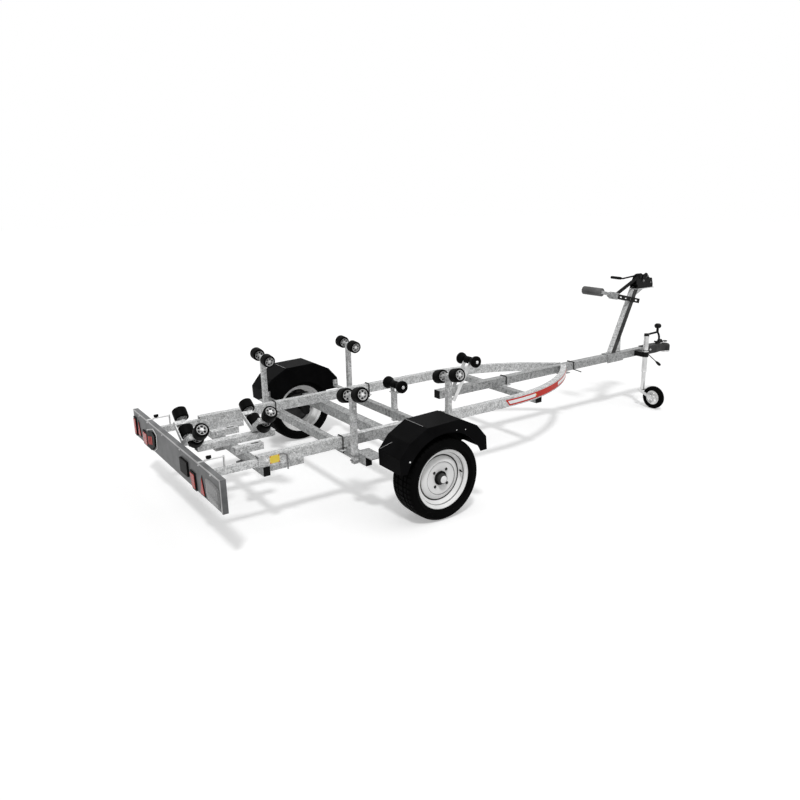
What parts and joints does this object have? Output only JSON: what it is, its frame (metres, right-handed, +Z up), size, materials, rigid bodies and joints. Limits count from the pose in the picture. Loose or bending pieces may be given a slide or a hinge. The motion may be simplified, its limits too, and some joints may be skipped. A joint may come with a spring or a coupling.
{
  "type": "boat trailer",
  "caption": "Single-axle boat trailer with a galvanised V frame, roller cradles, side rollers, bow stop with winch, jockey wheel and lamp board.",
  "frame": {"origin": "Middle of the overall box at its foot, on the ground under the trailer as it parks.", "axes": "X forward to the coupling, Y to the trailer's left, Z up. The frame stands nose up by under one degree."},
  "size_m": [4.701, 1.996, 1.1687],
  "materials": {
    "galvanised": "hot dip galvanised, mottled grey",
    "black_paint": "black satin",
    "silver_paint": "silver, satin",
    "cast_iron": "dark cast",
    "tyre": "black rubber",
    "black_plastic": "grained black",
    "bright_steel": "zinc plated",
    "board_grey": "dull grey sheet",
    "lamp_red": "red lens",
    "lamp_clear": "smoked clear lens",
    "strap_web": "woven webbing",
    "roller_rubber": "black rubber on pale spoked hubs"
  },
  "bodies": {
    "frame": {"axle_arms": "black_paint", "axle_beam": "galvanised", "bow_bracket": "galvanised", "bow_yoke": "galvanised", "channel_brackets": "galvanised", "clamp_pads": "black_plastic", "coupling_handle": "black_paint", "coupling_head": "black_paint", "cradle_brackets": "galvanised", "cross_tubes": "galvanised", "drawbar": "galvanised", "jockey_clamp": "black_paint", "jockey_crank": "black_paint", "jockey_lever": "black_paint", "jockey_outer_tube": "bright_steel", "junction_plate": "galvanised", "keel_beam": "galvanised", "keel_post": "galvanised", "keel_strut": "galvanised", "mudguard_stays": "galvanised", "mudguards": "black_plastic", "rail_saddles": "galvanised", "roller_heads": "galvanised", "side_posts": "galvanised", "side_rails": "galvanised", "tube_caps": "black_plastic", "winch_frame": "black_paint", "winch_post": "galvanised", "winch_strap": "strap_web", "wire_catch": "galvanised"},
    "wheel_left": {"tyre_left": "tyre", "rim_left": "silver_paint", "hub_left": "cast_iron"},
    "wheel_right": {"tyre_right": "tyre", "rim_right": "silver_paint", "hub_right": "cast_iron"},
    "keel_roller_mid": {"keel_roller_mid": "roller_rubber"},
    "keel_roller_front": {"keel_roller_front": "roller_rubber"},
    "bow_roller": {"bow_roller": "roller_rubber"},
    "winch_drum": {"winch_drum": "black_paint"},
    "winch_crank": {"winch_crank": "black_paint"},
    "light_board": {"light_board": "board_grey", "board_arms": "galvanised", "board_rods": "bright_steel", "board_knobs": "black_plastic", "lamps_red": "lamp_red", "lamps_clear": "lamp_clear", "lamp_blocks": "black_plastic"},
    "jockey_leg": {"jockey_inner_tube": "bright_steel"},
    "jockey_fork": {"jockey_fork": "bright_steel"},
    "jockey_wheel": {"jockey_tyre": "tyre", "jockey_rim": "silver_paint"},
    "cradle_rollers_rear_left": {"cradle_rollers_rear_left": "roller_rubber"},
    "cradle_rollers_rear_right": {"cradle_rollers_rear_right": "roller_rubber"},
    "cradle_rollers_front_left": {"cradle_rollers_front_left": "roller_rubber"},
    "cradle_rollers_front_right": {"cradle_rollers_front_right": "roller_rubber"},
    "side_rollers_rear_left": {"side_rollers_rear_left": "roller_rubber"},
    "side_rollers_rear_right": {"side_rollers_rear_right": "roller_rubber"},
    "side_rollers_front_left": {"side_rollers_front_left": "roller_rubber"},
    "side_rollers_front_right": {"side_rollers_front_right": "roller_rubber"}
  },
  "joints": [
    {"name": "wheel_left_spin", "type": "hinge", "parent": "frame", "child": "wheel_left", "pos_m": [-1.07121, 0.898, 0.254], "axis": [0, 1, 0], "continuous": true},
    {"name": "wheel_right_spin", "type": "hinge", "parent": "frame", "child": "wheel_right", "pos_m": [-1.07121, -0.898, 0.254], "axis": [0, 1, 0], "continuous": true},
    {"name": "cradle_rollers_rear_left_spin", "type": "hinge", "parent": "frame", "child": "cradle_rollers_rear_left", "pos_m": [-2.21567, 0.12025, 0.52868], "axis": [-0.0107, 0.7314, 0.6819], "continuous": true},
    {"name": "cradle_rollers_rear_right_spin", "type": "hinge", "parent": "frame", "child": "cradle_rollers_rear_right", "pos_m": [-2.21546, -0.13116, 0.5155], "axis": [0.0095, 0.7986, -0.6017], "continuous": true},
    {"name": "cradle_rollers_front_left_spin", "type": "hinge", "parent": "frame", "child": "cradle_rollers_front_left", "pos_m": [-1.77729, 0.13361, 0.50779], "axis": [-0.009, 0.8192, 0.5735], "continuous": true},
    {"name": "cradle_rollers_front_right_spin", "type": "hinge", "parent": "frame", "child": "cradle_rollers_front_right", "pos_m": [-1.77763, -0.11719, 0.52973], "axis": [0.0111, 0.7071, -0.707], "continuous": true},
    {"name": "side_rollers_rear_left_spin", "type": "hinge", "parent": "frame", "child": "side_rollers_rear_left", "pos_m": [-1.46029, 0.615, 0.74595], "axis": [-0.0016, 0.9945, 0.1045], "continuous": true},
    {"name": "side_rollers_rear_right_spin", "type": "hinge", "parent": "frame", "child": "side_rollers_rear_right", "pos_m": [-1.46029, -0.615, 0.74595], "axis": [0.0038, 0.9703, -0.2419], "continuous": true},
    {"name": "side_rollers_front_left_spin", "type": "hinge", "parent": "frame", "child": "side_rollers_front_left", "pos_m": [-0.75777, 0.615, 0.75699], "axis": [-0.0011, 0.9976, 0.0697], "continuous": true},
    {"name": "side_rollers_front_right_spin", "type": "hinge", "parent": "frame", "child": "side_rollers_front_right", "pos_m": [-0.75777, -0.615, 0.75699], "axis": [0.0038, 0.9703, -0.2419], "continuous": true},
    {"name": "keel_roller_mid_spin", "type": "hinge", "parent": "frame", "child": "keel_roller_mid", "pos_m": [-0.74409, 0, 0.56718], "axis": [0, 1, 0], "continuous": true},
    {"name": "keel_roller_front_spin", "type": "hinge", "parent": "frame", "child": "keel_roller_front", "pos_m": [-0.0774, 0, 0.65566], "axis": [0, 1, 0], "continuous": true},
    {"name": "bow_roller_spin", "type": "hinge", "parent": "frame", "child": "bow_roller", "pos_m": [1.25652, 0, 1.06432], "axis": [0, 1, 0], "continuous": true},
    {"name": "winch_drum_spin", "type": "hinge", "parent": "frame", "child": "winch_drum", "pos_m": [1.85064, 0, 1.114], "axis": [0, 1, 0], "continuous": true},
    {"name": "winch_crank_spin", "type": "hinge", "parent": "frame", "child": "winch_crank", "pos_m": [1.90507, 0, 1.15086], "axis": [0, 1, 0], "continuous": true},
    {"name": "light_board_slide", "type": "slide", "parent": "frame", "child": "light_board", "axis": [-0.9999, 0, -0.0157], "range_m": [0, 0.25]},
    {"name": "jockey_leg_slide", "type": "slide", "parent": "frame", "child": "jockey_leg", "axis": [-0.0157, 0, 0.9999], "range_m": [-0.08, 0.1]},
    {"name": "jockey_fork_swivel", "type": "hinge", "parent": "jockey_leg", "child": "jockey_fork", "pos_m": [1.86766, -0.12, 0.15815], "axis": [-0.0157, 0, 0.9999], "continuous": true},
    {"name": "jockey_wheel_spin", "type": "hinge", "parent": "jockey_fork", "child": "jockey_wheel", "pos_m": [1.87269, -0.23793, 0.10018], "axis": [0.9993, 0.0349, 0.0157], "continuous": true}
  ],
  "couplings": [
    {"joint": "winch_crank_spin", "follows": "winch_drum_spin", "ratio": -5}
  ]
}
